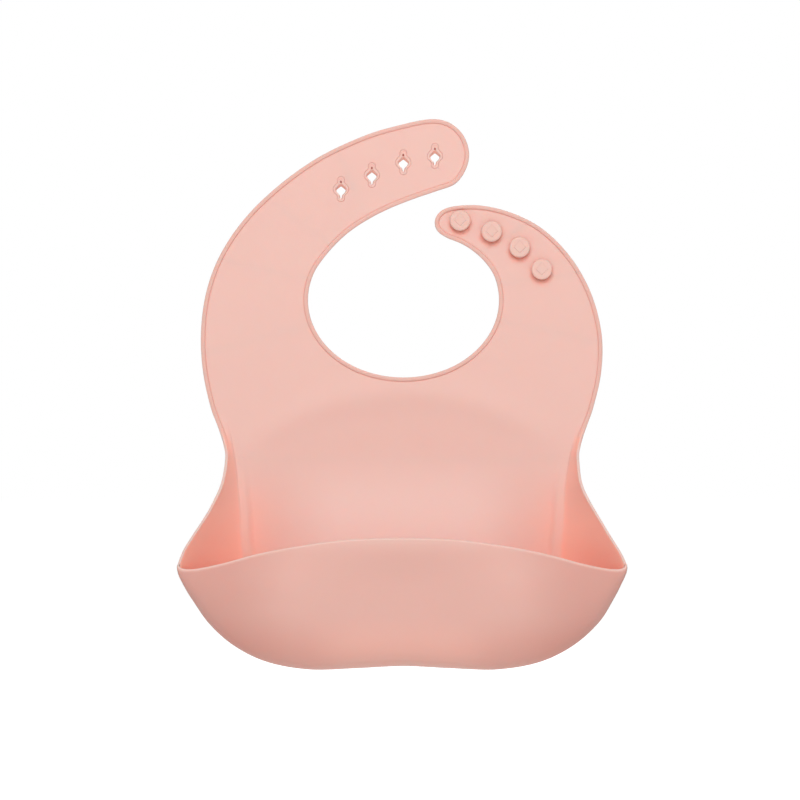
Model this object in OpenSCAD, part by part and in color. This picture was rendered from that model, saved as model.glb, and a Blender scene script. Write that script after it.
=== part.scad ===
// Silicone baby bib with a catch pocket, worn upright: +X to its left-hand strap side, -Y out of its front, +Z up.
// The origin is the centre of the neck opening, on the back face of the collar.
// Flat drawings are made with x across, y up and z out of the front, and stood up by stand().

/* [Sheet] */
// Thickness of the collar, straps and back wall
sheet_t = 1.8; // [1.6:0.1:2.2]
// Height of the rounded bead above the sheet
bead_h = 0.9; // [0.5:0.1:1.2]
// Width of the bead along every free edge
bead_w = 2.4; // [1.8:0.1:2.8]

/* [Neck opening] */
// Half of the opening's width
neck_a = 52; // [51.5:0.1:52.5]
// Half of the opening's height
neck_b = 42.2; // [41.8:0.1:42.6]

/* [Keyholes and studs] */
// Width of a keyhole's diamond
keyhole_w = 6.4; // [5.6:0.1:7]
// Height of a keyhole's diamond
keyhole_h = 7.6; // [6.8:0.1:8.2]
// Width of the slots above and below the diamond
slot_w = 1.1; // [0.8:0.1:1.6]
// Length of a keyhole from slot end to slot end
slot_l = 11; // [10:0.1:11.6]
// Diameter of a stud's head
stud_d = 11; // [9.5:0.1:12]
// Diameter of a stud's stem
stem_d = 4.8; // [4.2:0.1:5.4]
// Height of a stud's top above the strap
stud_h = 4.2; // [3.6:0.1:4.8]

/* [Pocket] */
// Half of the thickness of the pocket's walls
wall_half = 1; // [0.8:0.1:1.2]
// How far the back wall is dished behind the collar
dish = 4.5; // [3:0.1:6]
// Distance of the middle of the lip from the collar's back face
lip_out = 45; // [42:0.5:47]

/* [Hidden] */

skin = [0.93, 0.72, 0.68];
pale = [0.94, 0.76, 0.72];
deep = [0.88, 0.64, 0.59];

mid = sheet_t / 2;        // height of the sheet's middle, where every living hinge turns
tongue_r = mid;           // round end of a hinged edge
socket_r = mid + 0.05;    // hollow end that takes it
far = 260;                // longer than any piece
fold_y = -72;             // line across which the pocket folds
yoke_y = -86;             // bottom of the flat strip under the fold
fold_max = 110;           // how far the pocket folds forward
bead_gap = 0.7;           // bead left out beside a strap's hinge
fold_bead_gap = 3;        // bead left out beside the pocket's fold
part_gap = 0.4;           // between pieces of one body
move_gap = 0.3;           // between pieces that slide past each other
front_x = 93;             // half width of the part of the front wall that flexes
fold_from = 1.025;        // where the soft fold starts, as a place along the wall (1 is its outermost line)
fold_to = 1.13;           // where it ends and the flexing wall starts
lip_from = 1.965;         // where the thick lip starts (2 is its edge)
lip_half = 1.4;           // half of the lip's and rim's thickness
rim_from = 0.93;          // where the thick rim of a side wall starts (1 is its edge)
wall_end = 0.985;         // where the side walls and the base end under the front wall

hole_angles = [180, 155, 131, 97];    // hinge lines of the strap with the keyholes, about the neck's centre
button_angles = [0, 18, 46];          // hinge lines of the strap with the studs
hole_places = [[-34.1, 60], [-17.2, 67.6], [0.3, 74.7], [17.2, 78.6]];
stud_places = [[30.8, 43.1], [47.7, 37.1], [63, 28.4], [75, 16.4]];

// outer edge of the collar from the fold up its left of the drawing, round the keyhole strap and back to the neck
hole_side = [
    [-97.2, -88], [-99.6, -72], [-104.4, -60], [-108.9, -40], [-110.2, -20], [-108.2, 0], [-102.8, 18],
    [-94.1, 34], [-83.1, 48], [-71, 59.6], [-58.4, 69.6], [-45.2, 78.2], [-31.1, 85.2], [-16.1, 91.2],
    [0, 95.6], [12, 98.1], [20.5, 98], [27.7, 94.8], [33.4, 88.2], [35.8, 79], [33.6, 70.2], [28, 63],
    [19, 59.6], [5, 54.8], [-8, 49.6], [-20, 43.4], [-30.6, 36.2], [-39.4, 27.7], [-45.6, 20]
];
// from the neck round the strap with the studs and down to the fold
button_side = [
    [48.6, 14.8], [44.3, 20.8], [38, 26.6], [31, 30.9], [23.4, 33.9], [17.8, 38.2], [17.2, 44.4],
    [21.8, 49.4], [31, 51.4], [42, 51.4], [54, 49], [66, 44.4], [76, 38.4], [86, 29.2], [95.6, 16.4],
    [103.4, 0], [107.9, -20], [107.4, -40], [102.8, -60], [98.4, -72], [96.4, -88]
];

// edge of the pocket's wall from the fold, round the mouth's corner, to the middle of its bottom
rim_line = [
    [96.4, -86, 4.5], [98.5, -100, 10], [104, -113, 15.5], [111.8, -127, 22], [118, -138, 27.2],
    [119.8, -143.5, 28], [118.2, -150, 25], [113, -161, 20.5], [104.5, -174.5, 16], [91, -187, 13.5],
    [73, -196.2, 12.3], [50, -200.4, 12], [24, -199.6, 12], [0, -198, 12]
];
// foot of that wall, where it leaves the flat back
foot_line = [
    [90.5, -86, 0.9], [88, -99, 0.9], [87, -112, 0.9], [86, -126, 0.9], [85, -138, 0.9],
    [84.5, -146, 0.9], [83.5, -153, 0.9], [81, -162, 0.9], [75.5, -172, 0.9], [66, -180, 0.9],
    [54, -185, 0.9], [38, -187, 0.9], [18, -187, 0.9], [0, -187, 0.9]
];
corner_i = 5;              // the mouth's corner in these lists
rim_steps = 3;             // points between two places in these lists
last_side = 9;             // the side wall ends here and the base starts

// Catmull-Rom curve through the points, n steps between two of them
function curve(p, n) = [
    for (i = [0 : len(p) - 2], k = [0 : n - 1])
        let (a = p[max(i - 1, 0)], b = p[i], c = p[i + 1], d = p[min(i + 2, len(p) - 1)], t = k / n)
        0.5 * (2 * b + (c - a) * t + (2 * a - 5 * b + 4 * c - d) * t * t + (3 * b - a - 3 * c + d) * t * t * t),
    p[len(p) - 1]
];
function unit(v) = v / max(norm(v), 0.000001);
function turned(v) = [-v.y, v.x];
// every point of a closed outline moved to its inside by d, for an outline drawn clockwise
function inset(p, d) = [
    for (i = [0 : len(p) - 1])
        let (a = p[(i + len(p) - 1) % len(p)], b = p[i], c = p[(i + 1) % len(p)])
        b - d * unit(turned(unit(b - a)) + turned(unit(c - b)))
];
function polar(r, angle) = [r * cos(angle), r * sin(angle)];

neck_edge = [for (a = [157 : 6 : 379]) [neck_a * cos(a), neck_b * sin(a)]];
outline = concat(curve(hole_side, 3), neck_edge, curve(button_side, 3));
inner_outline = inset(outline, bead_w);

module stand() { rotate([90, 0, 0]) children(); }

// ---- flat pieces ------------------------------------------------------------------------------

// the sheet and its bead within a flat region, which is the first child; the second is where the bead is left out
module flat_piece() {
    intersection() {
        linear_extrude(sheet_t) polygon(outline);
        translate([0, 0, -1]) linear_extrude(10) children(0);
    }
    difference() {
        translate([0, 0, sheet_t]) linear_extrude(bead_h) difference() {
            polygon(outline);
            polygon(inner_outline);
        }
        difference() {
            translate([0, 0, -5]) linear_extrude(20) square(4 * far, center = true);
            translate([0, 0, -6]) linear_extrude(22) children(0);
        }
        translate([0, 0, -1]) linear_extrude(10) children(1);
    }
}

// everything between two angles about the neck's centre
module sector(from, to) {
    polygon([[0, 0], polar(far, from), polar(far, (from + to) / 2), polar(far, to)]);
}
// what belongs to the keyhole strap's end, and what to the stud strap's end: a slanting line runs between them
module above_gap() { polygon([[12, 48], [-30, 30], [-30, far], [far, far], [far, 60], [12, 54]]); }
module below_gap() { polygon([[12, 20], [12, 54], [far, 60], [far, 0], [12, 0]]); }
// a strip along a hinge line
module beside(angle, half) { rotate(angle) translate([30, -half]) square([far, 2 * half]); }
// a round bar along a hinge line, as long as the sheet is wide there
module bar(angle, r, from, to) {
    translate([0, 0, mid]) rotate([0, 0, angle]) translate([from, 0, 0]) rotate([0, 90, 0])
        cylinder(r = r, h = to - from, $fn = 48);
}

// widths of the straps at their hinge lines: [angle, inner edge, outer edge]
hinge_spans = [
    [180, 52, 108.2], [155, 49.9, 97.9], [131, 47.7, 90.9], [97, 50.6, 93.2],
    [0, 52, 103.4], [18, 50.6, 91.5], [46, 43.5, 70]
];
function span_of(angle) = [for (s = hinge_spans) if (s[0] == angle) s][0];

module tongue(angle) {
    s = span_of(angle);
    bar(angle, tongue_r, s[1] + 0.8, s[2] - 0.8);
}
module socket(angle) { bar(angle, socket_r, 20, far); }

// a strap piece between two hinge lines; the one nearer the collar has the tongue
module strap_piece(near, away) {
    difference() {
        union() {
            flat_piece() {
                sector(min(near, away), max(near, away));
                union() {
                    beside(near, bead_gap);
                    beside(away, bead_gap);
                }
            }
            intersection() {
                tongue(near);
                linear_extrude(sheet_t) polygon(outline);
            }
        }
        socket(away);
    }
}
// the last piece of a strap, with a tongue only; its child is the side of the gap that it lies on
module strap_end(near, away) {
    flat_piece() {
        intersection() {
            sector(min(near, away), max(near, away));
            children();
        }
        beside(near, bead_gap);
    }
    intersection() {
        tongue(near);
        linear_extrude(sheet_t) polygon(outline);
    }
}

module keyhole() {
    translate([0, 0, -1]) linear_extrude(sheet_t + 2) {
        polygon([[-keyhole_w / 2, 0], [0, keyhole_h / 2], [keyhole_w / 2, 0], [0, -keyhole_h / 2]]);
        square([slot_w, slot_l], center = true);
    }
}
// low border round a keyhole: a diamond with a round lobe at each end
module keyhole_rim() {
    rim_w = keyhole_w + 2.4;
    rim_h = keyhole_h + 2.8;
    difference() {
        translate([0, 0, sheet_t - 0.1]) linear_extrude(0.5) {
            polygon([[-rim_w / 2, 0], [0, rim_h / 2], [rim_w / 2, 0], [0, -rim_h / 2]]);
            for (s = [-1, 1]) translate([0, s * (slot_l / 2 - 0.7)]) circle(r = 2.1, $fn = 32);
        }
        keyhole();
    }
}
// a strap piece with the keyholes from first to last
module with_keyholes(first, last) {
    difference() {
        children();
        for (i = [first : last]) translate(hole_places[i]) keyhole();
    }
    for (i = [first : last]) translate(hole_places[i]) keyhole_rim();
}

module collar() color(skin) stand() difference() {
    flat_piece() {
        difference() {
            translate([-far / 2, fold_y]) square([far, far]);
            sector(button_angles[0], 90);
            sector(90, hole_angles[0]);
        }
        union() {
            beside(hole_angles[0], bead_gap);
            beside(button_angles[0], bead_gap);
            translate([-far / 2, fold_y - 1]) square([far, fold_bead_gap + 1]);
        }
    }
    socket(hole_angles[0]);
    socket(button_angles[0]);
    translate([-far / 2, fold_y, mid]) rotate([0, 90, 0]) cylinder(r = socket_r, h = far, $fn = 48);
    // relief on the front, so that the pocket can fold up past a right angle
    translate([-far / 2, fold_y, mid]) rotate([90 - fold_max, 0, 0]) translate([0, -3, -6])
        cube([far, 3 + socket_r, 12]);
}
module hole_strap_root() color(skin) stand() strap_piece(hole_angles[0], hole_angles[1]);
module hole_strap_bend() color(skin) stand() strap_piece(hole_angles[1], hole_angles[2]);
module hole_strap_middle() color(skin) stand()
    with_keyholes(0, 1) strap_piece(hole_angles[2], hole_angles[3]);
module hole_strap_tip() color(skin) stand() with_keyholes(2, 3) strap_end(hole_angles[3], 50) above_gap();
module button_strap_root() color(skin) stand() strap_piece(button_angles[0], button_angles[1]);
module button_strap_middle() color(skin) stand() strap_piece(button_angles[1], button_angles[2]);
module button_strap_tip() color(skin) stand() strap_end(button_angles[2], 90) below_gap();

// a mushroom-shaped stud with a shallow diamond-shaped groove in its head
module stud(i) color(pale) stand() translate([stud_places[i].x, stud_places[i].y, sheet_t]) difference() {
    rotate_extrude($fn = 48) polygon([
        [0, 0], [stem_d / 2, 0], [stem_d / 2, stud_h - 1.9], [stud_d / 2 - 0.6, stud_h - 1.9],
        [stud_d / 2, stud_h - 1.3], [stud_d / 2, stud_h - 0.5], [stud_d / 2 - 0.5, stud_h], [0, stud_h]
    ]);
    translate([0, 0, stud_h - 0.3]) linear_extrude(1) difference() {
        polygon([[-3.2, 0], [0, 3.4], [3.2, 0], [0, -3.4]]);
        polygon([[-2.5, 0], [0, 2.65], [2.5, 0], [0, -2.65]]);
    }
}

module pocket_yoke() color(skin) stand() {
    flat_piece() {
        translate([-far / 2, yoke_y + move_gap]) square([far, fold_y - yoke_y - move_gap]);
        translate([-far / 2, fold_y - fold_bead_gap]) square([far, fold_bead_gap + 1]);
    }
    translate([-97, fold_y, mid]) rotate([0, 90, 0]) cylinder(r = tongue_r, h = 194, $fn = 48);
}

// ---- the pocket's shell -----------------------------------------------------------------------

rims = curve(rim_line, rim_steps);
feet = curve(foot_line, rim_steps);

// a place on the wall between its foot (w = 0) and its outermost line (w = 1), at point i of the lists
function wall_at(i, w) =
    let (f = feet[i], r = rims[i], round_share = min(1, 0.45 + 0.55 * i / (corner_i * rim_steps)),
         along = round_share * sin(90 * w) + (1 - round_share) * w)
    [f.x + (r.x - f.x) * along, f.y + (r.y - f.y) * along, f.z + (r.z - f.z) * (1 - cos(90 * w))];

bottom_of_x = [for (i = [len(rims) - 1 : -1 : corner_i * rim_steps]) [rims[i].x, rims[i].y]];
depth_of_x = [for (i = [len(rims) - 1 : -1 : corner_i * rim_steps]) [rims[i].x, rims[i].z]];
lip_points = curve([[0, -127], [28, -128], [53, -131.2], [74, -135.3], [95, -141], [108, -144], [119.8, -145.2]], 4);

// a place on the front wall at x, from its outermost line (w = 1) to the lip (w = 2)
function front_at(x, w) =
    let (ax = abs(x), y0 = lookup(ax, bottom_of_x), z0 = lookup(ax, depth_of_x),
         y1 = lookup(ax, lip_points), z1 = lip_out - (lip_out - 28) * pow(ax / 119.8, 2), t = 90 * (w - 1))
    [x, y0 + (y1 - y0) * (1 - cos(t)), z0 + (z1 - z0) * sin(t)];

// the shell between a surface's points moved out and in by half its thickness; g is rows of points
function grid_normal(g, i, j) =
    let (n = len(g), m = len(g[0]),
         a = g[min(i + 1, n - 1)][j] - g[max(i - 1, 0)][j], b = g[i][min(j + 1, m - 1)] - g[i][max(j - 1, 0)])
    unit(cross(a, b));
function flat_x(v) = unit([0, v.y, v.z]);
module shell(g, half, keep_x = false) {
    n = len(g);
    m = len(g[0]);
    moved = [for (side = [1, -1], i = [0 : n - 1], j = [0 : m - 1])
        let (normal = grid_normal(g, i, j))
        g[i][j] + side * half[j] * (keep_x ? flat_x(normal) : normal)];
    function at(side, i, j) = side * n * m + i * m + j;
    function quad(a, b, c, d) = [[a, b, c], [a, c, d]];
    quads = concat(
        [for (i = [0 : n - 2], j = [0 : m - 2])
            quad(at(0, i, j), at(0, i, j + 1), at(0, i + 1, j + 1), at(0, i + 1, j))],
        [for (i = [0 : n - 2], j = [0 : m - 2])
            quad(at(1, i, j), at(1, i + 1, j), at(1, i + 1, j + 1), at(1, i, j + 1))],
        [for (j = [0 : m - 2]) quad(at(0, 0, j), at(1, 0, j), at(1, 0, j + 1), at(0, 0, j + 1))],
        [for (j = [0 : m - 2]) quad(at(0, n - 1, j), at(0, n - 1, j + 1), at(1, n - 1, j + 1), at(1, n - 1, j))],
        [for (i = [0 : n - 2]) quad(at(0, i, 0), at(0, i + 1, 0), at(1, i + 1, 0), at(1, i, 0))],
        [for (i = [0 : n - 2]) quad(at(0, i, m - 1), at(1, i, m - 1), at(1, i + 1, m - 1), at(0, i + 1, m - 1))]
    );
    polyhedron(moved, [for (q = quads, f = q) f]);
}
function steps(from, to, n) = [for (k = [0 : n]) from + (to - from) * k / n];
function even(n, value) = [for (k = [0 : n]) value];

// rows of the back wall at the heights of its feet
back_rows = [for (i = [0 : 2 : 11 * rim_steps])
    [for (a = steps(-1, 1, 10))
        [a * (feet[i].x - part_gap), feet[i].y + (i == 11 * rim_steps ? part_gap : 0),
         mid - dish * (1 - pow(abs(a), 4)) * min(1, (yoke_y - feet[i].y) / 14, (feet[i].y + 188) / 8)]]];

module pocket_back() color(pale) stand() shell(back_rows, even(10, wall_half));

// side -1 is the side of the keyhole strap, side 1 that of the studs
module side_wall(side) color(skin) stand() mirror([side < 0 ? 1 : 0, 0, 0])
    shell([for (i = [0 : 2 : last_side * rim_steps])
            [for (w = steps(0, i <= corner_i * rim_steps ? rim_from : wall_end, 6)) wall_at(i, w)]],
        even(6, wall_half));
module left_side_wall() side_wall(-1);
module right_side_wall() side_wall(1);

module rim(side) color(pale) stand() mirror([side < 0 ? 1 : 0, 0, 0])
    shell([for (i = [0 : corner_i * rim_steps]) [for (w = steps(rim_from + 0.035, 1, 2)) wall_at(i, w)]],
        even(2, lip_half));
module left_rim() rim(-1);
module right_rim() rim(1);

// the trough along the bottom, drawn as one half and its mirror image
base_half = [for (i = [last_side * rim_steps + 1 : 2 : len(rims) - 1])
    [for (w = steps(0.01, wall_end, 5)) wall_at(i, w)]];
base_rows = concat(base_half, [for (i = [len(base_half) - 1 : -1 : 0])
    if (base_half[i][0].x > 0.01) [for (p = base_half[i]) [-p.x, p.y, p.z]]]);
module pocket_base() color(deep) stand() shell(base_rows, even(5, wall_half));

function front_rows(from_x, to_x, n, from_w, to_w, m) =
    [for (x = steps(from_x, to_x, n)) [for (w = steps(from_w, to_w, m)) front_at(x, w)]];

module end_wall(side) color(skin) stand() mirror([side < 0 ? 1 : 0, 0, 0])
    shell(front_rows(front_x + move_gap, 118.6, 8, fold_from, 2, 8), [for (k = [0 : 8]) k < 8 ? wall_half : lip_half],
        keep_x = true);
module left_end_wall() end_wall(-1);
module right_end_wall() end_wall(1);

module pocket_fold() color(deep) stand()
    shell(front_rows(-front_x, front_x, 20, fold_from, fold_to - 0.01, 2), even(2, wall_half * 0.7), keep_x = true);
module pocket_front() color(skin) stand()
    shell(front_rows(-front_x, front_x, 20, fold_to, lip_from - 0.005, 8), even(8, wall_half), keep_x = true);
module pocket_lip() color(pale) stand()
    shell(front_rows(-front_x, front_x, 20, lip_from, 2, 2), even(2, lip_half), keep_x = true);

collar();
hole_strap_root();
hole_strap_bend();
hole_strap_middle();
hole_strap_tip();
button_strap_root();
button_strap_middle();
button_strap_tip();
stud(0);  // stud_1
stud(1);  // stud_2
stud(2);  // stud_3
stud(3);  // stud_4
pocket_yoke();
pocket_back();
left_side_wall();
right_side_wall();
left_rim();
right_rim();
pocket_base();
left_end_wall();
right_end_wall();
pocket_fold();
pocket_front();
pocket_lip();
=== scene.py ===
"""Silicone baby bib with a catch pocket: the one-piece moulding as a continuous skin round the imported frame.

The skin is worked out flat, in millimetres: x across, y up, z out of the bib's front. to_frame() stands it up in the
row frame, in metres. One middle surface is made for the collar, the straps and the whole pocket. It is given its
thickness and its bead, and is then divided into pieces that each cross one hinge.
"""

import math

import bpy
import numpy as np
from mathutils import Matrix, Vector
from mathutils.geometry import delaunay_2d_cdt
from mathutils.kdtree import KDTree


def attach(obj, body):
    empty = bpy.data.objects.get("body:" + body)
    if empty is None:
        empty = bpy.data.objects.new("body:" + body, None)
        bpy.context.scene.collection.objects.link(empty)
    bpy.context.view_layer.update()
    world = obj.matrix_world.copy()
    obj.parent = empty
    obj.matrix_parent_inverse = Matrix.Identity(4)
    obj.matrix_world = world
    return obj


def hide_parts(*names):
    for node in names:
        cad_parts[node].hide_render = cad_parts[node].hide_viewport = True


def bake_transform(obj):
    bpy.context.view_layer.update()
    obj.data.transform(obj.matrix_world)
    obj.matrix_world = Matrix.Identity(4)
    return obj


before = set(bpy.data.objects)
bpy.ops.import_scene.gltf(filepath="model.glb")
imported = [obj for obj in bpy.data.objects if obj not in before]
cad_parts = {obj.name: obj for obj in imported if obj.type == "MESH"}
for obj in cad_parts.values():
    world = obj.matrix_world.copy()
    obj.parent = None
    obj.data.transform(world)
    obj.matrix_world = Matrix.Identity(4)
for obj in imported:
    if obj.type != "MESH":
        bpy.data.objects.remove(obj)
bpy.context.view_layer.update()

MM = 0.001

# ---- sizes, in millimetres --------------------------------------------------------------------

SHEET_HALF = 0.9  # half of the sheet's thickness; also the height of its middle above the back
WALL_HALF = 0.95  # the same for the pocket
BEAD_W, BEAD_H = 2.3, 0.85  # of the bead along the free edge
BACK_ROUND = 0.55  # radius of the sheet's back edge
STUD_R, STUD_H, STEM_R = 5.6, 4.2, 2.4
NECK_A, NECK_B = 52.0, 42.2  # half axes of the neck opening's lower part
LIP_OUT, LIP_END_OUT = 45.0, 28.0  # how far the lip stands out, at its middle and at its ends
TIP_X = 118.7  # half the distance between the corners of the mouth
POCKET_TOP_Y = -86  # where the collar's piece of the skin ends and the pocket's begins

# distances from the free edge at which the surface has a row of points
ROWS = [0, 0.12, 0.35, 0.72, 1.15, 1.58, 1.92, 2.16, 2.3, 2.42, 2.62, 3.0, 3.7, 4.6, 5.6]
WALL_ROWS = 46  # further rows, from the last of those down to the wall's foot
ROW_GAP = 0.12  # least distance between those
EDGE_STEP = 1.15  # between the points along the free edge

# free edge of the collar on the hole strap's side, round the strap's end and back to the neck opening
HOLE_SIDE = [
    (-97.2, -88), (-99.6, -72), (-104.4, -60), (-108.9, -40), (-110.2, -20), (-108.2, 0), (-102.8, 18),
    (-94.1, 34), (-83.1, 48), (-71, 59.6), (-58.4, 69.6), (-45.2, 78.2), (-31.1, 85.2), (-16.1, 91.2),
    (0, 95.6), (12, 98.1), (20.5, 98), (27.7, 94.8), (33.4, 88.2), (35.8, 79), (33.6, 70.2), (28, 63),
    (19, 59.6), (5, 54.8), (-8, 49.6), (-20, 43.4), (-30.6, 36.2), (-39.4, 27.7), (-45.6, 20),
]
# the same on the stud strap's side, from the neck opening outwards
BUTTON_SIDE = [
    (48.6, 14.8), (44.3, 20.8), (38, 26.6), (31, 30.9), (23.4, 33.9), (17.8, 38.2), (17.2, 44.4),
    (21.8, 49.4), (31, 51.4), (42, 51.4), (54, 49), (66, 44.4), (76, 38.4), (86, 29.2), (95.6, 16.4),
    (103.4, 0), (107.9, -20), (107.4, -40), (102.8, -60), (98.4, -72), (96.4, -88),
]
WALL_TOP_Y = -64.0  # where the free edge leaves the flat and becomes the side wall's rim
# edge of the side wall from the collar to the corner of the mouth, then the pocket's outermost line to its middle
RIM_LINE = [
    (96.2, -86, 6.6), (97.9, -99.8, 11.5), (103.2, -112.6, 16.5), (110.4, -125.6, 22), (116.2, -135.2, 26.4),
    (119, -141.2, 27.8), (118.8, -146.5, 26.6), (116.2, -152.8, 23.8), (112.2, -160.6, 20.5), (103.8, -173.9, 16),
    (90.5, -185.9, 13.5), (72.7, -194.6, 12.3), (49.9, -198.5, 12), (24, -197.7, 12), (0, -196.6, 12),
    (-24, -197.7, 12),
]
# where the wall meets the chest, point for point beside the rim
FOOT_LINE = [
    (91.6, -86), (89.6, -99), (87.7, -112), (86.3, -125), (85.5, -134), (85.1, -140.5), (84.6, -147), (83.4, -154),
    (80.8, -162), (75.5, -172), (66, -180), (54, -185), (38, -187), (18, -187), (0, -187), (-18, -187),
]
FOOT_TOP = [(95.8, -61.2), (94.9, -68.5), (93.3, -77)]
# the rim's first points on each side, which aren't quite alike
RIM_TOP = {-1: [(102.9, WALL_TOP_Y, 0.9), (99.8, -72, 2.3), (97.4, -79, 4.3)],
           1: [(101.4, WALL_TOP_Y, 0.9), (98.6, -72, 2.3), (96.9, -79, 4.3)]}
CORNER_T = 8  # the corner of the mouth, counted along the rim's points
# lip from the corner of the mouth to its middle
LIP = [(118.9, -142.4), (117.9, -143.8), (114.6, -144.5), (108, -143.9), (95, -141), (74, -135.3),
       (53, -131.2), (28, -128), (0, -127), (-28, -128)]

HOLE_PLACES = [(-34, 60.3), (-17.2, 67.9), (-0.1, 74.9), (17.1, 78.3)]
STUD_PLACES = [(30.7, 43), (47.8, 37), (63, 28.4), (75, 16.5)]


# ---- small helpers ----------------------------------------------------------------------------


def to_frame(p):
    """Row-frame metres from flat-drawing millimetres."""
    p = np.asarray(p, float)
    return np.stack([p[..., 0], -p[..., 2], p[..., 1]], -1) * MM


def smooth(x):
    """Smooth step from 0 at x = 0 to 1 at x = 1."""
    x = np.clip(x, 0, 1)
    return x * x * (3 - 2 * x)


def catmull(points, t):
    """Point at t (0 to len - 1) of the Catmull-Rom curve through points."""
    p = np.asarray(points, float)
    i = int(min(max(math.floor(t), 0), len(p) - 2))
    f = t - i
    a, b, c, d = p[max(i - 1, 0)], p[i], p[i + 1], p[min(i + 2, len(p) - 1)]
    return 0.5 * (2 * b + (c - a) * f + (2 * a - 5 * b + 4 * c - d) * f**2 + (3 * b - a - 3 * c + d) * f**3)


def curve(points, n):
    """The Catmull-Rom curve through points, with n steps from one to the next."""
    return np.array([catmull(points, k / n) for k in range((len(points) - 1) * n + 1)])


def lengths(p):
    """Run along a line at each of its points."""
    return np.concatenate([[0], np.cumsum(np.linalg.norm(np.diff(p, axis=0), axis=1))])


def at_lengths(p, s):
    """Points of a line at the given runs."""
    total = lengths(p)
    return np.stack([np.interp(s, total, p[:, k]) for k in range(p.shape[1])], 1)


def resample(p, spacing):
    """The line with points at an even spacing close to the one asked for."""
    total = lengths(p)[-1]
    return at_lengths(p, np.linspace(0, total, max(2, int(round(total / spacing)) + 1)))


def relax(p, times):
    """Even out the corners of a line."""
    p = p.copy()
    for _ in range(times):
        p[1:-1] = 0.25 * p[:-2] + 0.5 * p[1:-1] + 0.25 * p[2:]
    return p


def inside(points, polygon):
    """Which points lie in the closed polygon."""
    x, y = points[:, 0], points[:, 1]
    hit = np.zeros(len(points), bool)
    for (x0, y0), (x1, y1) in zip(polygon, np.roll(polygon, -1, 0)):
        if y0 == y1:
            continue
        crosses = (y0 > y) != (y1 > y)
        hit ^= crosses & (x < (x1 - x0) * (y - y0) / (y1 - y0) + x0)
    return hit


def tree_of(points):
    """A search tree of points in the plane or in space."""
    tree = KDTree(len(points))
    for i, p in enumerate(points):
        tree.insert((p[0], p[1], p[2] if len(p) > 2 else 0), i)
    tree.balance()
    return tree


def distances(tree, points):
    """From each point to the nearest one in the tree."""
    return np.array([tree.find((p[0], p[1], p[2] if len(p) > 2 else 0))[2] for p in points])


# ---- the middle surface -----------------------------------------------------------------------


class Surface:
    """Points and faces of the middle surface; points that fall together are one."""

    def __init__(self):
        self.points, self.found, self.faces = [], {}, []

    def add(self, p):
        """Number of the point at p, which is made when there is none within some micrometres."""
        key = (round(p[0] * 500), round(p[1] * 500), round(p[2] * 500))
        if key not in self.found:
            self.found[key] = len(self.points)
            self.points.append(tuple(p))
        return self.found[key]

    def grid(self, g, flip=False, closed=False):
        """Faces between the rows of g; the last row meets the first when closed."""
        ids = [[self.add(p) for p in row] for row in g]
        rows = len(ids)
        for i in range(rows if closed else rows - 1):
            a, b = ids[i], ids[(i + 1) % rows]
            for j in range(len(a) - 1):
                q = [a[j], a[j + 1], b[j + 1], b[j]]
                q = [v for k, v in enumerate(q) if v != q[k - 1]]
                if len(q) > 2:
                    self.faces.append(q[::-1] if flip else q)
        return ids


surface = Surface()

# free edge of the collar and the straps, in one run from the left side wall to the right one
left = curve(HOLE_SIDE, 12)[12:]
left = left[np.argmax(left[:, 1] > WALL_TOP_Y + 0.8):]
right = curve(BUTTON_SIDE, 12)
right = right[: len(right) - np.argmax(right[::-1, 1] > WALL_TOP_Y + 0.8)]
angles = np.radians(np.arange(157, 380, 3))
neck = np.stack([NECK_A * np.cos(angles), NECK_B * np.sin(angles)], 1)
edge = np.concatenate([[(-RIM_TOP[-1][0][0], WALL_TOP_Y)], left, neck, right, [(RIM_TOP[1][0][0], WALL_TOP_Y)]])
edge = relax(resample(edge, 0.8), 6)
edge = resample(edge, EDGE_STEP)
direction = np.gradient(edge, axis=0)
normal = np.stack([direction[:, 1], -direction[:, 0]], 1)
normal /= np.linalg.norm(normal, axis=1)[:, None]
for end, side in ((0, -1), (-1, 1)):
    top = np.array([side * FOOT_TOP[0][0], FOOT_TOP[0][1]]) - edge[end]
    top /= np.linalg.norm(top)
    for k in range(8):
        i = k if end == 0 else -1 - k
        mixed = normal[i] * smooth(k / 8) + top * (1 - smooth(k / 8))
        normal[i] = mixed / np.linalg.norm(mixed)

band = [[(*(edge[i] + normal[i] * d), 0) for d in ROWS] for i in range(len(edge))]
surface.grid(band, flip=False)

FOOT_EASE = 0.09  # share of the wall in which it leaves the chest softly
LEAST_BOW = 0.15  # of the side walls
WALL_SAMPLES, FRONT_SAMPLES, OUTER_SAMPLES = 60, 120, 900
CURVE_STEPS = 24
NARROW, WIDE = 0.55, 0.85  # spacing of the stations at the corner of the mouth, and what is added away from it
DENT, DENT_W = 5.4, 36  # the front wall sinks in at its middle
BULGE, BULGE_W, BULGE_X = 3.6, 20, 66  # and is fuller on both sides of it
RIGHT_ANGLE = 1.5707  # a hair under it, so that no power of a negative cosine is taken


def wall_point(low, high, bow, w):
    """Point at share w of the way up a wall from low to high; bow says how much its base bellies out."""
    along = bow * math.sin(math.pi / 2 * w) + (1 - bow) * w
    soft = (w - FOOT_EASE * (1 - math.exp(-w / FOOT_EASE))) / (1 - FOOT_EASE)
    rise = (0.3 * (1 - math.cos(math.pi / 2 * soft)) + 0.7 * soft * (1 - 0.3 * soft)) / 0.79
    return (low[0] + (high[0] - low[0]) * along, low[1] + (high[1] - low[1]) * along, (high[2] - SHEET_HALF) * rise)


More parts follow.
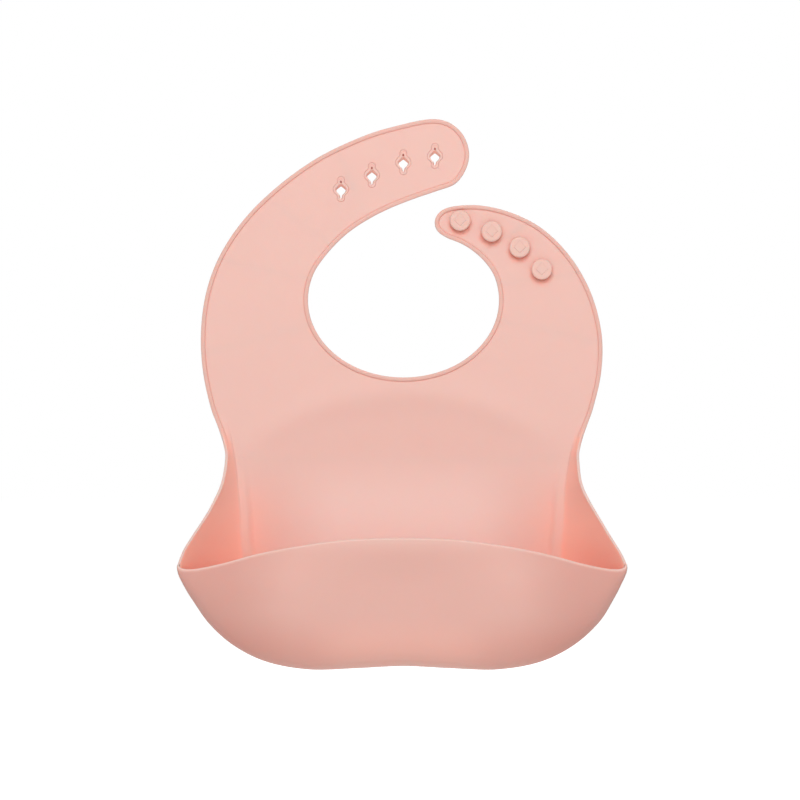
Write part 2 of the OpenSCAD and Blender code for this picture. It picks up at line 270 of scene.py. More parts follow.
def outline_shift(x, y, side):
    """Small sideways corrections of a side wall; the bib's two sides aren't quite alike."""
    both = -0.75 * smooth((POCKET_TOP_Y - y) / 30) * (1 - smooth((-150 - y) / 22))
    right_waist = -1.5 * smooth((-66 - y) / 22) * smooth((y + 120) / 24) * (side > 0)
    left_corner = -0.9 * smooth((-112 - y) / 18) * smooth((y + 143) / 12) * (side < 0)
    return both + (right_waist + left_corner) * smooth((np.abs(x) - 60) / 25)


def front_line(e, c, past):
    """Line down the front wall from the lip at e to the pocket's outermost line at c."""
    power = 2 / (2 + 0.7 * smooth(past / 45))
    line = []
    for a in np.linspace(math.pi / 2, 0, FRONT_SAMPLES):
        up = 1 - math.cos(a) ** power if a < RIGHT_ANGLE else 1.0
        out = math.sin(a) ** power
        dent = DENT * math.exp(-((e[0] / DENT_W) ** 2)) - BULGE * math.exp(-(((e[0] - BULGE_X) / BULGE_W) ** 2))
        dent *= smooth((1 - up) / 0.38) * smooth(up / 0.5)
        line.append((*(c[:2] + (e[:2] - c[:2]) * up), c[2] - SHEET_HALF + (e[2] - c[2]) * out - dent))
    return line


def half_stations(side):
    """Lines across the pocket's wall from its free edge to its foot, from the top of a side wall to the middle."""
    rims = RIM_TOP[side] + RIM_LINE
    feet = FOOT_TOP + FOOT_LINE
    lip = [(x, y, LIP_OUT - (LIP_OUT - LIP_END_OUT) * (x / TIP_X) ** 2) for x, y in LIP]
    free = [*rims[: CORNER_T + 1], *lip]
    fine = curve(free, CURVE_STEPS)[: (len(free) - 2) * CURVE_STEPS + 1]
    t_fine = np.arange(len(fine)) / CURVE_STEPS
    total = lengths(fine)
    # closer together round the corner of the mouth
    corner = total[CORNER_T * CURVE_STEPS]
    places, s = [], 0.0
    while s < total[-1] - 0.4:
        places.append(s)
        s += NARROW + WIDE * smooth((abs(s - corner - 2) - 5) / 14)
    places[-1] = total[-1] - 0.7
    places.append(total[-1])

    t_beyond = np.linspace(CORNER_T, len(rims) - 2, OUTER_SAMPLES)
    outer = np.array([catmull(rims, t) for t in t_beyond])
    x_falling = np.minimum.accumulate(outer[:, 0])
    outer_run = lengths(outer)
    lines = []
    for s in places:
        t = np.interp(s, total, t_fine)
        e = catmull(free, t)
        if t <= CORNER_T:
            f = catmull(feet, t)
            line = [wall_point(f, e, LEAST_BOW, w) for w in np.linspace(1, 0, WALL_SAMPLES)]
        else:
            past = s - corner
            below = np.interp(np.interp(-e[0], -x_falling, t_beyond), t_beyond, outer_run)
            part = smooth(past / 14)
            tc = np.interp((1 - part) * 1.5 * past + part * below, outer_run, t_beyond)
            c, f = catmull(rims, tc), catmull(feet, tc)
            bow = LEAST_BOW + (1 - LEAST_BOW) * smooth(past / 40)
            line = front_line(e, c, past)
            line += [wall_point(f, c, bow, w) for w in np.linspace(1, 0, WALL_SAMPLES)[1:]]
        line = np.array(line)
        reach = lengths(line)[-1]
        # where the wall is short, rows closer than ROW_GAP fall together
        beyond_band = reach - ROWS[-1]
        steps = min(WALL_ROWS, max(1, int(beyond_band / ROW_GAP)))
        rest = ROWS[-1] + beyond_band * np.ceil(np.arange(1, WALL_ROWS + 1) * steps / WALL_ROWS) / steps
        line = at_lengths(line, np.concatenate([ROWS, rest]))
        line[:, 0] *= side
        line[:, 0] += outline_shift(line[:, 0], line[:, 1], side)
        lines.append(line)
    return np.array(lines)


left_lines, right_lines = half_stations(-1), half_stations(1)
left_lines[0][0][:2], right_lines[0][0][:2] = edge[0], edge[-1]
wall = np.concatenate([left_lines, right_lines[::-1][1:]])
surface.grid(wall, flip=True)
foot = wall[:, -1, :2]

# ---- keyholes ---------------------------------------------------------------------------------

HOLE_ANGLES = 132  # points round each keyhole
PIT_Y, PIT_R, PIT_DEPTH = 3.85, 0.5, 0.7  # the blind pit above the hole
CAP_Y, CAP_R, CAP_DEPTH = 4.45, 1.25, 0.14  # and the faint line round its top
GROOVE_HALF = 0.36
HOLE_MIDDLE_Y = -0.6


def whole(half):
    """A closed outline from its right half, from the top clockwise."""
    half = np.array(half, float)
    return np.concatenate([half, (half[::-1] * [-1, 1])[1:]])


def through_outline():
    """The hole right through the sheet."""
    full = whole([(0, 1.6), (0.6, 1.15), (1.38, 0.54), (2.2, -0.08), (2.5, -0.55), (2.49, -0.8), (2.3, -1.2),
                  (1.99, -1.76), (1.36, -2.39), (0.73, -3.0), (0.48, -3.6), (0.38, -4.2), (0.2, -4.75), (0, -4.9)])
    return at_lengths(full, np.linspace(0, lengths(full)[-1], HOLE_ANGLES + 1)[:-1])


def mouth_outline():
    """The hole's wider mouth in the front face."""
    return whole([(0, 3.0), (0.45, 2.68), (1.5, 1.7), (2.45, 0.75), (2.92, 0.1), (3.0, -0.4), (2.75, -1.1),
                  (2.3, -1.85), (1.65, -2.6), (1.15, -3.2), (0.95, -4.0), (0.82, -4.7), (0.45, -5.25), (0, -5.4)])


def border_outline():
    """Line round the keyhole: a circle with a lobe at each end."""
    return whole(curve([(0, 6.8), (1.0, 6.52), (1.72, 5.8), (1.93, 4.9), (1.82, 4.2), (1.95, 3.55), (2.55, 2.8),
                        (3.3, 2.1), (3.92, 1.1), (4.2, -0.1), (3.95, -1.4), (3.3, -2.35), (2.5, -3.05), (2.02, -3.7),
                        (1.93, -4.4), (2.0, -5.1), (1.75, -5.95), (1.0, -6.65), (0, -6.9)], 8))


def turned(p):
    """Angle of each point of a closed outline about the hole's middle, clockwise from the top."""
    return np.unwrap(np.arctan2(p[:, 0], p[:, 1] - HOLE_MIDDLE_Y))


def matched(outline, inner):
    """A point of outline for each point of inner, spread half by its angle and half by its length."""
    fine = resample(outline, 0.03)
    run = lengths(fine)
    by_angle = np.interp(turned(inner), turned(fine), run)
    by_length = np.linspace(0, run[-1], len(inner) + 1)[:-1]
    return at_lengths(fine, 0.5 * (by_angle + by_length))


hole_shape = through_outline()
mouth_shape = matched(mouth_outline(), hole_shape)
border_shape = matched(border_outline(), hole_shape)
border_normal = np.roll(border_shape, -1, 0) - np.roll(border_shape, 1, 0)
border_normal = np.stack([-border_normal[:, 1], border_normal[:, 0]], 1)
border_normal /= np.linalg.norm(border_normal, axis=1)[:, None]
inner_border = border_shape - border_normal * GROOVE_HALF
# rings from the hole to the border's groove as shares of the way, then across the groove as distances from its line
RINGS = [0, 0.05, 0.1, 0.16, 0.22, 0.29, 0.37, 0.46, 0.56, 0.67, 0.78, 0.89, 1.0]
EXTRA = [-0.24, -0.12, 0, 0.12, 0.24, 0.4, 0.9]
# height of every ring above the sheet's front, and the painted shade on the groove's rings
RING_RISE = [-0.3, -0.1, 0.02] + [0.1] * 9 + [0.08] + [0.0, -0.18, -0.36, -0.2, -0.04, 0, 0]
GROOVE_PAINTED_SHADE = ((14, 0.14), (15, 0.3), (16, 0.14))
rings = [hole_shape + (inner_border - hole_shape) * r for r in RINGS]
rings += [border_shape + border_normal * e for e in EXTRA]
hole_ids, hole_rims = [], []
for cx, cy in HOLE_PLACES:
    g = [[(cx + ring[i][0], cy + ring[i][1], 0) for ring in rings] for i in range(HOLE_ANGLES)]
    hole_ids.append(np.array(surface.grid(g, flip=True, closed=True)))
    hole_rims.append(np.array([row[-1][:2] for row in g]))

# ---- the flat inside of the outline -----------------------------------------------------------

FOOT_ROWS = (1.0, 2.0, 3.0, 4.0, 5.2, 6.6, 8.4)  # rows of points on the chest, by their distance from the foot
HEX_STEP = 2.5

inner = np.array([row[-1][:2] for row in band])
right_top = right_lines[0][len(ROWS):, :2]
left_top = left_lines[0][len(ROWS):, :2]
region = np.concatenate([inner, right_top, foot[::-1][1:-1], left_top[::-1]])

foot_direction = np.gradient(foot, axis=0)
foot_normal = np.stack([-foot_direction[:, 1], foot_direction[:, 0]], 1)
foot_normal /= np.linalg.norm(foot_normal, axis=1)[:, None]
rows_inside = np.concatenate([(foot + foot_normal * d)[6:-6] for d in FOOT_ROWS])
rows_inside = rows_inside[inside(rows_inside, region)]
boundary_tree = tree_of(np.concatenate([region, *hole_rims]))
rows_inside = rows_inside[distances(boundary_tree, rows_inside) > 0.8]
hexes = np.array([(i * HEX_STEP + (j % 2) * HEX_STEP / 2, j * HEX_STEP * 0.866)
                  for j in range(-80, 45) for i in range(-45, 45)], float)
hexes = hexes[inside(hexes, region)]
for rim in hole_rims:
    hexes = hexes[~inside(hexes, rim)]
near_tree = tree_of(np.concatenate([region, rows_inside, *hole_rims]))
hexes = hexes[distances(near_tree, hexes) > 1.6]

fixed = [region, *hole_rims]
flat_points = np.concatenate([*fixed, rows_inside, hexes])
edges, offset = [], 0
for loop in fixed:
    n = len(loop)
    edges += [(offset + k, offset + (k + 1) % n) for k in range(n)]
    offset += n
made_points, _, made_faces = delaunay_2d_cdt([Vector(p) for p in flat_points], edges, [], 0, 1e-5)[:3]
flat = np.array([tuple(v) for v in made_points])
triangles = np.array(list(made_faces))
triangle_middles = flat[triangles].mean(1)
keep = inside(triangle_middles, region)
for rim in hole_rims:
    keep &= ~inside(triangle_middles, rim)
ids = [surface.add((p[0], p[1], 0)) for p in flat]
for t in triangles[keep]:
    a, b, c = (ids[k] for k in t)
    if len({a, b, c}) == 3:
        surface.faces.append([a, b, c])

points = np.array(surface.points)

# ---- depth of the dished chest ----------------------------------------------------------------

# the arch is a parabola across the chest, its top below the neck opening
ARCH_TOP_Y, ARCH_BEND = -51.7, 0.00395
HOLLOW_DEPTH, BROW_HEIGHT = 4.9, 0.9


def dish(x, y, from_foot):
    """How far the chest lies behind the flat: a low brow along the arch, a hollow under it that eases out again."""
    below = ARCH_TOP_Y - ARCH_BEND * x * x - y
    brow = BROW_HEIGHT * np.exp(-(((below + 2) / 8) ** 2)) * smooth((from_foot - 4) / 25)
    inward = 0.5 * (below + np.sqrt(below**2 + 16)) - 0.3
    hollow = (1 - np.exp(-np.maximum(inward, 0) / (22 + 0.25 * np.abs(x)))) * (1 - 1.1 * smooth((below - 26) / 95))
    side = 0.55 * smooth((from_foot - 2.6) / 3.2) + 0.45 * smooth((from_foot - 3) / 45)
    return HOLLOW_DEPTH * hollow * side - brow


CHEST_X = 96  # half the width of the part that may be dished
on_flat = np.abs(points[:, 2]) < 1e-6
on_flat &= inside(points[:, :2], np.concatenate([foot, [(0, -50)]])) | (points[:, 1] > -75)
lower = on_flat & (points[:, 1] < -30) & (np.abs(points[:, 0]) < CHEST_X)
lower &= inside(points[:, :2], np.concatenate([foot, [(CHEST_X, -20), (-CHEST_X, -20)]]))
chest_sides = [(x, y) for x in (-CHEST_X, CHEST_X) for y in np.arange(-61, -20, 0.5)]
foot_tree = tree_of(np.concatenate([resample(foot, 0.25), chest_sides]))
depth = np.zeros(len(points))
which = np.where(lower)[0]
depth[which] = dish(points[which, 0], points[which, 1], distances(foot_tree, points[which]))
points[:, 2] -= depth

# ---- normals, thickness and bead --------------------------------------------------------------


def vertex_normals(pts, faces):
    """Smooth normals, weighted by the area of the faces."""
    total = np.zeros_like(pts)
    tri = np.array([(f[0], f[k], f[k + 1]) for f in faces for k in range(1, len(f) - 1)])
    n = np.cross(pts[tri[:, 1]] - pts[tri[:, 0]], pts[tri[:, 2]] - pts[tri[:, 0]])
    for k in range(3):
        np.add.at(total, tri[:, k], n)
    return total / np.maximum(np.linalg.norm(total, axis=1), 1e-12)[:, None]


normals = vertex_normals(points, surface.faces)

FAR = 99.0  # stands for a distance that isn't worked out

free_run = np.concatenate([resample(np.c_[edge, np.zeros(len(edge))], 0.1), resample(wall[:, 0], 0.1)])
free_tree = tree_of(free_run)
from_edge = np.full(len(points), FAR)
near_edge = sorted({surface.add(p) for row in band for p in row} |
                   {surface.add(p) for row in wall for p in row[: len(ROWS) + 2]})
surface_near = np.array(surface.points)[near_edge]
from_edge[near_edge] = distances(free_tree, surface_near)
from_edge[[surface.add(p) for row in band for p in row]] = [d for _ in band for d in ROWS]

is_wall = np.zeros(len(points), bool)
is_wall[[surface.add(p) for row in wall for p in row]] = True
half = np.where(is_wall & (points[:, 1] < POCKET_TOP_Y), WALL_HALF, SHEET_HALF).astype(float)

# the bead has a half-round section, with a fine crease along its inner side, and fades out down the side walls
across_bead = np.clip((from_edge - BEAD_W / 2) / (BEAD_W / 2), -1, 1)
fade = 1 - 0.96 * smooth((-62 - points[:, 1]) / 26)
bead = BEAD_H * np.sqrt(1 - across_bead**2) * fade
crease = -0.1 * np.exp(-(((from_edge - BEAD_W - 0.12) / 0.2) ** 2)) * fade
front_half = half + bead + crease
back_half = half - BACK_ROUND * np.clip(1 - from_edge / BACK_ROUND, 0, 1) ** 2

front = points + normals * front_half[:, None]
back = points - normals * back_half[:, None]

# ---- painted shade and painted light: where the silicone is tinted warmer, darker and paler ---

mid_x, mid_y = points[:, 0], points[:, 1]
# painted shade along the crease on the bead's inner side, a warm tint and a dark one
crease_shade_mask = np.exp(-(((from_edge - BEAD_W - 0.08) / 0.28) ** 2)) * fade
painted_warm_shade = 0.35 * crease_shade_mask
painted_dark_shade = 0.16 * crease_shade_mask
# painted shadow below each stud on the strap: a warm tint over a wider patch and a dark tint close under the head
for cx, cy in STUD_PLACES:
    on_strap = np.abs(points[:, 2]) < 1
    away = np.linalg.norm(points[:, :2] - (cx, cy - 2.2), axis=1)
    painted_warm_shade = np.maximum(painted_warm_shade, 0.85 * smooth((7 - away) / 2.4) * on_strap)
    away = np.linalg.norm(points[:, :2] - (cx, cy - 0.9), axis=1)
    painted_dark_shade = np.maximum(painted_dark_shade, 0.22 * smooth((6.7 - away) / 1.4) * on_strap)
# painted warm shade inside the side walls, lower down and away from the foot, and painted dark shade deepest in the
# far corners of the mouth
foot_run = np.zeros(len(points))
for row in wall:
    run = lengths(row[::-1])[::-1]
    foot_run[[surface.add(p) for p in row]] = run
low_down = smooth((-66 - mid_y) / 14) * (0.6 + 0.4 * smooth((-96 - mid_y) / 45))
off_foot = 0.4 + 0.6 * smooth((foot_run - 0.3) / 2.2)
painted_warm_shade = np.maximum(painted_warm_shade, is_wall * off_foot * smooth((from_edge - 0.1) / 0.6) * low_down)
corner_away = np.hypot(np.abs(mid_x) - 114, mid_y + 140)
painted_dark_shade = np.maximum(painted_dark_shade, 0.12 * is_wall * smooth((28 - corner_away) / 26) * smooth((from_edge - 0.5) / 1.5))
# painted warm shade on the chest beside the side walls; painted light on the chest's middle and a painted highlight
# along the rim of the mouth
chest_foot = np.full(len(points), FAR)
chest_foot[which] = distances(foot_tree, np.c_[points[which, :2], np.zeros(len(which))])
is_chest = chest_foot < 90
side_foot = np.where(is_chest, 87.5 - np.abs(mid_x), FAR)
beside_wall_shade = 0.7 * np.exp(-np.maximum(side_foot - 4, 0) / 12) * smooth((-88 - mid_y) / 40)
painted_warm_shade = np.maximum(painted_warm_shade, beside_wall_shade * (0.45 + 0.55 * smooth((chest_foot - 2.8) / 2.0)))
pale = 0.8 * smooth((side_foot - 8) / 50) * smooth((-75 - mid_y) / 45) * is_chest
lip_pale = 0.7 * is_wall * np.clip(1 - from_edge / 0.9, 0, 1) * smooth((-70 - mid_y) / 15)

# the border groove, the soft rim of each hole, its sloping faces and the blind pit above it, with painted shade in
# the groove, in the pit, on the faint line round its top and on the hole's upper faces
upper_face_shade = np.zeros(len(points))  # painted shade on the upper faces inside the holes
for (cx, cy), grid_ids in zip(HOLE_PLACES, hole_ids):
    for k, r in enumerate(RINGS):
        front[grid_ids[:, k], :2] += (mouth_shape - hole_shape) * (1 - r)
    for k, h in enumerate(RING_RISE):
        front[grid_ids[:, k], 2] += h
    v = grid_ids.ravel()
    local = front[v, :2] - (cx, cy)
    sunk = np.exp(-((np.linalg.norm((local - (0, PIT_Y)) * (1, 0.85), axis=1) / PIT_R) ** 4))
    cap = np.exp(-(((np.linalg.norm(local - (0, CAP_Y), axis=1) - CAP_R) / 0.22) ** 2))
    cap *= smooth((local[:, 1] - 4) / 0.8)
    front[v, 2] -= PIT_DEPTH * sunk + CAP_DEPTH * cap
    painted_dark_shade[v] = np.maximum(painted_dark_shade[v], np.maximum(sunk, 0.16 * cap))
    painted_warm_shade[v] = np.maximum(painted_warm_shade[v], 0.5 * cap)
    for k, share in GROOVE_PAINTED_SHADE:
        painted_dark_shade[grid_ids[:, k]] = share
    upper_face_shade[grid_ids[:, 0]] = 0.6 * smooth((hole_shape[:, 1] + 1.2) / 1.2)
    painted_warm_shade[grid_ids[:, 0]] = 0.7 * upper_face_shade[grid_ids[:, 0]]

# ---- the closed skin --------------------------------------------------------------------------

count = len(points)
skin_points = np.concatenate([front, back]) + [0, 0, SHEET_HALF]
skin_faces = [list(f) for f in surface.faces] + [[v + count for v in f[::-1]] for f in surface.faces]
# an edge that is used in one direction only lies on the border, where front and back are joined
used_edges = dict.fromkeys((a, f[(k + 1) % len(f)]) for f in surface.faces for k, a in enumerate(f))
skin_faces += [[b, a, a + count, b + count] for a, b in used_edges if (b, a) not in used_edges]
skin_normals = vertex_normals(skin_points, skin_faces)
bead_share = np.concatenate([np.clip(1 - np.abs(from_edge - BEAD_W / 2) / (BEAD_W / 2 + 0.1), 0, 1),
                             0.4 * np.clip(1 - from_edge / 1.0, 0, 1)])
# painted shade on the pocket's outside, a little darker towards its ends and warmer at its bottom
outside = is_wall * smooth((-125 - mid_y) / 12) * smooth((from_edge - 0.4) / 1.5)
low_wall = smooth((-165 - mid_y) / 25)
from_middle = np.abs(mid_x)
outside_shade_dark = 0.105 + 0.155 * smooth((from_middle - 50) / 50) + 0.08 * low_wall * smooth((from_middle - 25) / 30)
outside_shade_dark *= outside * (1 - 0.4 * low_wall * (1 - smooth((from_middle - 20) / 35)))
outside_shade_warm = outside * (0.15 + 0.15 * smooth((from_middle - 50) / 50) + 0.3 * low_wall)
# the bead's tint and the painted shade and light, front and then back, as vertex attributes
bead_and_painted_shade = {"bead": bead_share, "pale": np.concatenate([np.maximum(pale, lip_pale), lip_pale]),
         "painted_warm_shade": np.concatenate([painted_warm_shade, np.maximum(outside_shade_warm, upper_face_shade)]),
         "painted_dark_shade": np.concatenate([painted_dark_shade, np.maximum(outside_shade_dark, 0.2 * upper_face_shade)])}

# ---- material ---------------------------------------------------------------------------------


def node(tree, kind, **inputs):
    """A new node with values set on its inputs; an underscore stands for a space in an input's name."""
    n = tree.nodes.new(kind)
    for key, value in inputs.items():
        n.inputs[key.replace("_", " ")].default_value = value
    return n


SHEET_BASE, SHEET_SHADE, SHEET_BEAD = (0.788, 0.508, 0.445), (0.782, 0.502, 0.439), (0.745, 0.45, 0.385)
STUD_BASE, STUD_SHADE, STUD_EDGE = (0.79, 0.52, 0.45), (0.78, 0.505, 0.435), (0.775, 0.475, 0.405)
SHEET_ROUGH, STUD_ROUGH = 0.52, 0.48
# colours of the painted warm shade, painted light and painted dark shade
PAINTED_WARM_SHADE_COLOUR = (0.98, 0.455, 0.355)
PAINTED_LIGHT_COLOUR = (0.86, 0.635, 0.575)
PAINTED_DARK_SHADE_COLOUR = (0.3, 0.02, 0.014)


def silicone(name, base, shade, edge_colour, roughness):
    """Soft matt silicone: fine moulded grain, faint cloudiness, the bead's tint, and the painted shade and painted
    light that the mesh's vertices hold.
    """
    m = bpy.data.materials.new(name)
    m.use_nodes = True
    t = m.node_tree
    t.nodes.clear()
    output = t.nodes.new("ShaderNodeOutputMaterial")
    shader = t.nodes.new("ShaderNodeBsdfPrincipled")
    t.links.new(shader.outputs["BSDF"], output.inputs["Surface"])
    place = t.nodes.new("ShaderNodeTexCoord")

    cloud = node(t, "ShaderNodeTexNoise", Scale=38.0, Detail=4.0, Roughness=0.55)
    t.links.new(place.outputs["Object"], cloud.inputs["Vector"])
    spread = node(t, "ShaderNodeMapRange", From_Min=0.3, From_Max=0.7)
    t.links.new(cloud.outputs["Fac"], spread.inputs["Value"])
    colour = t.nodes.new("ShaderNodeMix")
    colour.data_type = "RGBA"
    colour.inputs["A"].default_value = (*shade, 1)
    colour.inputs["B"].default_value = (*base, 1)
    t.links.new(spread.outputs["Result"], colour.inputs["Factor"])

    last = colour
    bead_and_painted_shade_tints = {"bead": edge_colour, "pale": PAINTED_LIGHT_COLOUR, "painted_warm_shade": PAINTED_WARM_SHADE_COLOUR, "painted_dark_shade": PAINTED_DARK_SHADE_COLOUR}
    for attribute, tint in bead_and_painted_shade_tints.items():
        share = t.nodes.new("ShaderNodeAttribute")
        share.attribute_name = attribute
        mixed = t.nodes.new("ShaderNodeMix")
        mixed.data_type = "RGBA"
        mixed.inputs["B"].default_value = (*tint, 1)
        t.links.new(share.outputs["Fac"], mixed.inputs["Factor"])
        t.links.new(last.outputs["Result"], mixed.inputs["A"])
        last = mixed
    t.links.new(last.outputs["Result"], shader.inputs["Base Color"])

    grain = node(t, "ShaderNodeTexNoise", Scale=1400.0, Detail=2.0, Roughness=0.6)
    t.links.new(place.outputs["Object"], grain.inputs["Vector"])
    rough = node(t, "ShaderNodeMapRange", To_Min=roughness - 0.05, To_Max=roughness + 0.06)
    t.links.new(cloud.outputs["Fac"], rough.inputs["Value"])
    t.links.new(rough.outputs["Result"], shader.inputs["Roughness"])
    bump = node(t, "ShaderNodeBump", Strength=0.12, Distance=0.0002)
    t.links.new(grain.outputs["Fac"], bump.inputs["Height"])
    t.links.new(bump.outputs["Normal"], shader.inputs["Normal"])

    for key, value in (("Subsurface Weight", 0.3), ("Subsurface Radius", (1.0, 0.36, 0.24)),
                       ("Subsurface Scale", 0.003), ("Specular IOR Level", 0.28), ("IOR", 1.41),
                       ("Sheen Weight", 0.05), ("Sheen Roughness", 0.5)):
        shader.inputs[key].default_value = value
    return m


sheet_silicone = silicone("silicone_sheet_look", SHEET_BASE, SHEET_SHADE, SHEET_BEAD, SHEET_ROUGH)
stud_silicone = silicone("silicone_stud_look", STUD_BASE, STUD_SHADE, STUD_EDGE, STUD_ROUGH)

# ---- pieces of the skin -----------------------------------------------------------------------

# the straps are cut along radii of the neck opening, at these angles in degrees, between their hinge lines
HOLE_STRAP_CUTS = ((167.5, 195, "hole_strap_root_skin"), (143, 167.5, "hole_strap_bend_skin"),
                   (114, 143, "hole_strap_middle_skin"), (-1, 114, "hole_strap_tip_skin"))
BUTTON_STRAP_CUTS = ((-12, 9, "button_strap_root_skin"), (9, 32, "button_strap_middle_skin"),
                     (32, 91, "button_strap_tip_skin"))

centres = np.array([skin_points[f].mean(0) for f in skin_faces])
face_x, face_y = centres[:, 0], centres[:, 1]
theta = np.degrees(np.arctan2(face_y, face_x)) % 360
# a slanting line runs through the gap between the ends of the two straps
on_button_side = (face_y < 54 + 6 * (face_x - 12) / 248) & (face_x > 10)
piece_of = np.full(len(skin_faces), "collar_skin", object)
on_button_strap = ((theta < 90) | (theta > 348)) & on_button_side
on_hole_strap = (theta < 195) & ~on_button_side & (face_y > -40)
for low, high, name in HOLE_STRAP_CUTS:
    piece_of[on_hole_strap & (theta >= low) & (theta < high)] = name
signed = (theta + 180) % 360 - 180
for low, high, name in BUTTON_STRAP_CUTS:
    piece_of[on_button_strap & (signed >= low) & (signed < high)] = name
piece_of[face_y < POCKET_TOP_Y] = "pocket_skin"


def make_object(name, pts, faces, material, nrm=None, values=None):
    """An object with smooth shading, its own normals where nrm gives them, and a vertex attribute for each value."""
    mesh = bpy.data.meshes.new(name)
    mesh.from_pydata([tuple(p) for p in to_frame(pts)], [], faces)
    mesh.validate()
    mesh.polygons.foreach_set("use_smooth", [True] * len(mesh.polygons))
    for key, share in (values or {}).items():
        mesh.attributes.new(key, "FLOAT", "POINT").data.foreach_set("value", np.asarray(share, np.float32))
    mesh.materials.append(material)
    mesh.update()
    if nrm is not None:
        turned = np.stack([nrm[:, 0], -nrm[:, 2], nrm[:, 1]], 1)
        mesh.normals_split_custom_set_from_vertices([tuple(n) for n in turned])
    o = bpy.data.objects.new(name, mesh)
    bpy.context.scene.collection.objects.link(o)
    return o


pieces = {}
for name in sorted(set(piece_of)):
    chosen = np.where(piece_of == name)[0]
    used = sorted({v for i in chosen for v in skin_faces[i]})
    renumber = {v: k for k, v in enumerate(used)}
    faces = [[renumber[v] for v in skin_faces[i]] for i in chosen]
    pieces[name] = make_object(name, skin_points[used], faces, sheet_silicone, skin_normals[used],
                               {key: share[used] for key, share in bead_and_painted_shade.items()})

# ---- studs ------------------------------------------------------------------------------------

STUD_SIDES = 96
DIAMOND_X, DIAMOND_UP, DIAMOND_DOWN = 3.2, 3.8, 3.1  # half width and heights of the line on a stud's head
DIAMOND_LINE, DIAMOND_GROOVE, DIAMOND_SUNK = 0.17, 0.26, 0.08  # width and depth of the line, and depth inside it


def stud_mesh(cx, cy):
    """A mushroom-shaped stud turned in rings, with a shallow diamond sunk into its head; its stem, the underside of
    its head and the diamond's line carry painted shade.
    """
    profile = [(STEM_R + 0.9, -0.1), (STEM_R + 0.45, 0.18), (STEM_R + 0.12, 0.55), (STEM_R, 1.0), (STEM_R, 1.9),
               (STEM_R + 0.25, 2.15), (STUD_R - 1.2, 2.2), (STUD_R - 0.55, 2.28), (STUD_R - 0.15, 2.55),
               (STUD_R, 2.95), (STUD_R, 3.3), (STUD_R - 0.07, 3.62), (STUD_R - 0.25, 3.9), (STUD_R - 0.52, 4.1),
               (STUD_R - 0.85, STUD_H), (STUD_R - 1.1, STUD_H)]
    profile += [(r, STUD_H) for r in np.arange(STUD_R - 1.25, 0.1, -0.12)]
    pts, faces, painted_warmth, painted_darkness = [], [], [], []
    for r, z in profile:
        for k in range(STUD_SIDES):
            a = 2 * math.pi * k / STUD_SIDES
            x, y = r * math.cos(a), r * math.sin(a)
            # painted shade on the stem and under the head: line darkens, the next value warms
            h, line = z, 0.15 * (z < 2.25)
            head_shade_warmth = 0.9 * (z < 2.25) + 0.4 * (2.25 < z < 3.2)
            if z == STUD_H:
                # off is the distance outwards from the diamond's line, which is fainter in its upper half
                top = DIAMOND_UP if y > 0 else DIAMOND_DOWN
                off = (abs(x) / DIAMOND_X + abs(y) / top - 1) * DIAMOND_X * top / math.hypot(DIAMOND_X, top)
                strong = 0.4 if y > 0 else 1.0
                line = strong * math.exp(-((off / DIAMOND_LINE) ** 2))
                h -= DIAMOND_GROOVE * line + DIAMOND_SUNK * float(smooth(-off / 0.5))
                # the diamond's groove gets a little painted dark shade, the head no warm shade
                head_shade_warmth, line = 0.0, 0.2 * line
            painted_warmth.append(head_shade_warmth)
            painted_darkness.append(line)
            pts.append((cx + x, cy + y, 2 * SHEET_HALF + h))
    rows = len(profile)
    for i in range(rows - 1):
        for k in range(STUD_SIDES):
            a, b = i * STUD_SIDES + k, i * STUD_SIDES + (k + 1) % STUD_SIDES
            faces.append([a, b, b + STUD_SIDES, a + STUD_SIDES])
    pts.append((cx, cy, 2 * SHEET_HALF + STUD_H - DIAMOND_SUNK))
    last = (rows - 1) * STUD_SIDES
    faces += [[last + k, last + (k + 1) % STUD_SIDES, len(pts) - 1] for k in range(STUD_SIDES)]
    return np.array(pts), faces, {"painted_warm_shade": painted_warmth + [0], "painted_dark_shade": painted_darkness + [0]}


STUD_BODIES = ["button_strap_tip", "button_strap_middle", "button_strap_middle", "button_strap_root"]
for i, ((cx, cy), body) in enumerate(zip(STUD_PLACES, STUD_BODIES), 1):
    pts, faces, values = stud_mesh(cx, cy)
    stud = make_object(f"stud_{i}_look", pts, faces, stud_silicone, values=values)
    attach(stud, body)
    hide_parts(f"stud_{i}")

# ---- placements of the skin's pieces, baked into their meshes ---------------------------------


def hinge(piece):
    """Bake a piece's placement into its mesh."""
    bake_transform(piece)


hinge(pieces["hole_strap_root_skin"])
hinge(pieces["hole_strap_bend_skin"])
hinge(pieces["hole_strap_middle_skin"])
hinge(pieces["hole_strap_tip_skin"])
hinge(pieces["button_strap_root_skin"])
hinge(pieces["button_strap_middle_skin"])
hinge(pieces["button_strap_tip_skin"])
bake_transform(pieces["collar_skin"])
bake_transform(pieces["pocket_skin"])

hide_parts("collar", "pocket_yoke")
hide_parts("hole_strap_root")
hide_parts("hole_strap_bend")
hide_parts("hole_strap_middle")
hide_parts("hole_strap_tip")
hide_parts("button_strap_root")
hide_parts("button_strap_middle")
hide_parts("button_strap_tip")
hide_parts("pocket_back", "left_side_wall", "right_side_wall", "left_rim", "right_rim",
            "pocket_base", "left_end_wall", "right_end_wall", "pocket_fold", "pocket_front", "pocket_lip")

# ---- stage, light and camera ------------------------------------------------------------------

scene = bpy.context.scene
scene.view_settings.view_transform = "Standard"

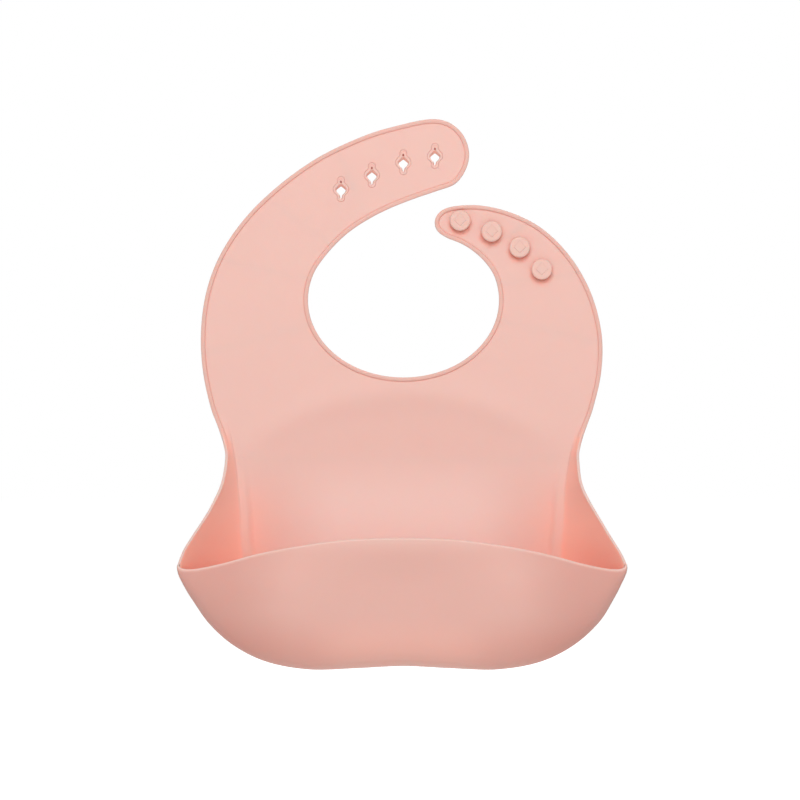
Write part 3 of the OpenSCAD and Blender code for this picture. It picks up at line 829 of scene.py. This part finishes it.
world = bpy.data.worlds.new("studio")
scene.world = world
world.use_nodes = True
w = world.node_tree
w.nodes.clear()
world_out = w.nodes.new("ShaderNodeOutputWorld")
background = w.nodes.new("ShaderNodeBackground")
w.links.new(background.outputs["Background"], world_out.inputs["Surface"])
where = w.nodes.new("ShaderNodeTexCoord")
parts = w.nodes.new("ShaderNodeSeparateXYZ")
w.links.new(where.outputs["Generated"], parts.inputs["Vector"])
height = node(w, "ShaderNodeMapRange", From_Min=-0.8, From_Max=0.8, To_Min=1.0, To_Max=0.4)
w.links.new(parts.outputs["Z"], height.inputs["Value"])
seen = w.nodes.new("ShaderNodeLightPath")
strength = w.nodes.new("ShaderNodeMix")
strength.data_type = "FLOAT"
strength.inputs["B"].default_value = 1.0
w.links.new(seen.outputs["Is Camera Ray"], strength.inputs["Factor"])
aside = w.nodes.new("ShaderNodeMath")
aside.operation = "ABSOLUTE"
w.links.new(parts.outputs["X"], aside.inputs[0])
sides = node(w, "ShaderNodeMapRange", From_Min=0.2, From_Max=1.0, To_Min=1.0, To_Max=0.8)
w.links.new(aside.outputs["Value"], sides.inputs["Value"])
around = w.nodes.new("ShaderNodeMath")
around.operation = "MULTIPLY"
w.links.new(height.outputs["Result"], around.inputs[0])
w.links.new(sides.outputs["Result"], around.inputs[1])
w.links.new(around.outputs["Value"], strength.inputs["A"])
w.links.new(strength.outputs["Result"], background.inputs["Strength"])
background.inputs["Color"].default_value = (1, 1, 1, 1)


def area_light(name, place, aim, size, energy):
    """A round lamp at place that shines towards aim."""
    data = bpy.data.lights.new(name, "AREA")
    data.shape = "DISK"
    data.size = size
    data.energy = energy
    o = bpy.data.objects.new(name, data)
    o.location = place
    o.rotation_euler = (Vector(aim) - Vector(place)).to_track_quat("-Z", "Y").to_euler()
    scene.collection.objects.link(o)
    return o


BIB_MIDDLE = (0, 0, -0.06)
area_light("key", (0, -1.45, 0.8), BIB_MIDDLE, 1.3, 18)
area_light("back", (0.5, 1.3, 0.9), BIB_MIDDLE, 0.9, 9)

FLOOR_Z, FLOOR_HALF = -0.36, 6.0
floor_mesh = bpy.data.meshes.new("floor")
floor_corners = [(x * FLOOR_HALF, y * FLOOR_HALF, FLOOR_Z) for x, y in ((-1, -1), (1, -1), (1, 1), (-1, 1))]
floor_mesh.from_pydata(floor_corners, [], [[0, 1, 2, 3]])
floor = bpy.data.objects.new("floor", floor_mesh)
scene.collection.objects.link(floor)
floor_look = bpy.data.materials.new("floor_look")
floor_look.use_nodes = True
floor_shader = floor_look.node_tree.nodes["Principled BSDF"]
floor_shader.inputs["Base Color"].default_value = (0.96, 0.96, 0.96, 1)
floor_shader.inputs["Roughness"].default_value = 0.9
floor_shader.inputs["Specular IOR Level"].default_value = 0.0
floor_shader.inputs["Emission Color"].default_value = (1, 1, 1, 1)
floor_shader.inputs["Emission Strength"].default_value = 0.6
floor_mesh.materials.append(floor_look)
floor.visible_diffuse = False
floor.visible_glossy = False
floor.visible_transmission = False

camera_data = bpy.data.cameras.new("camera")
camera_data.sensor_width = 36
camera_data.lens = 107.44
camera = bpy.data.objects.new("camera", camera_data)
camera.location = (-0.0019, -1.3, -0.0544)
camera.rotation_euler = (math.pi / 2, 0, 0)
scene.collection.objects.link(camera)
scene.camera = camera
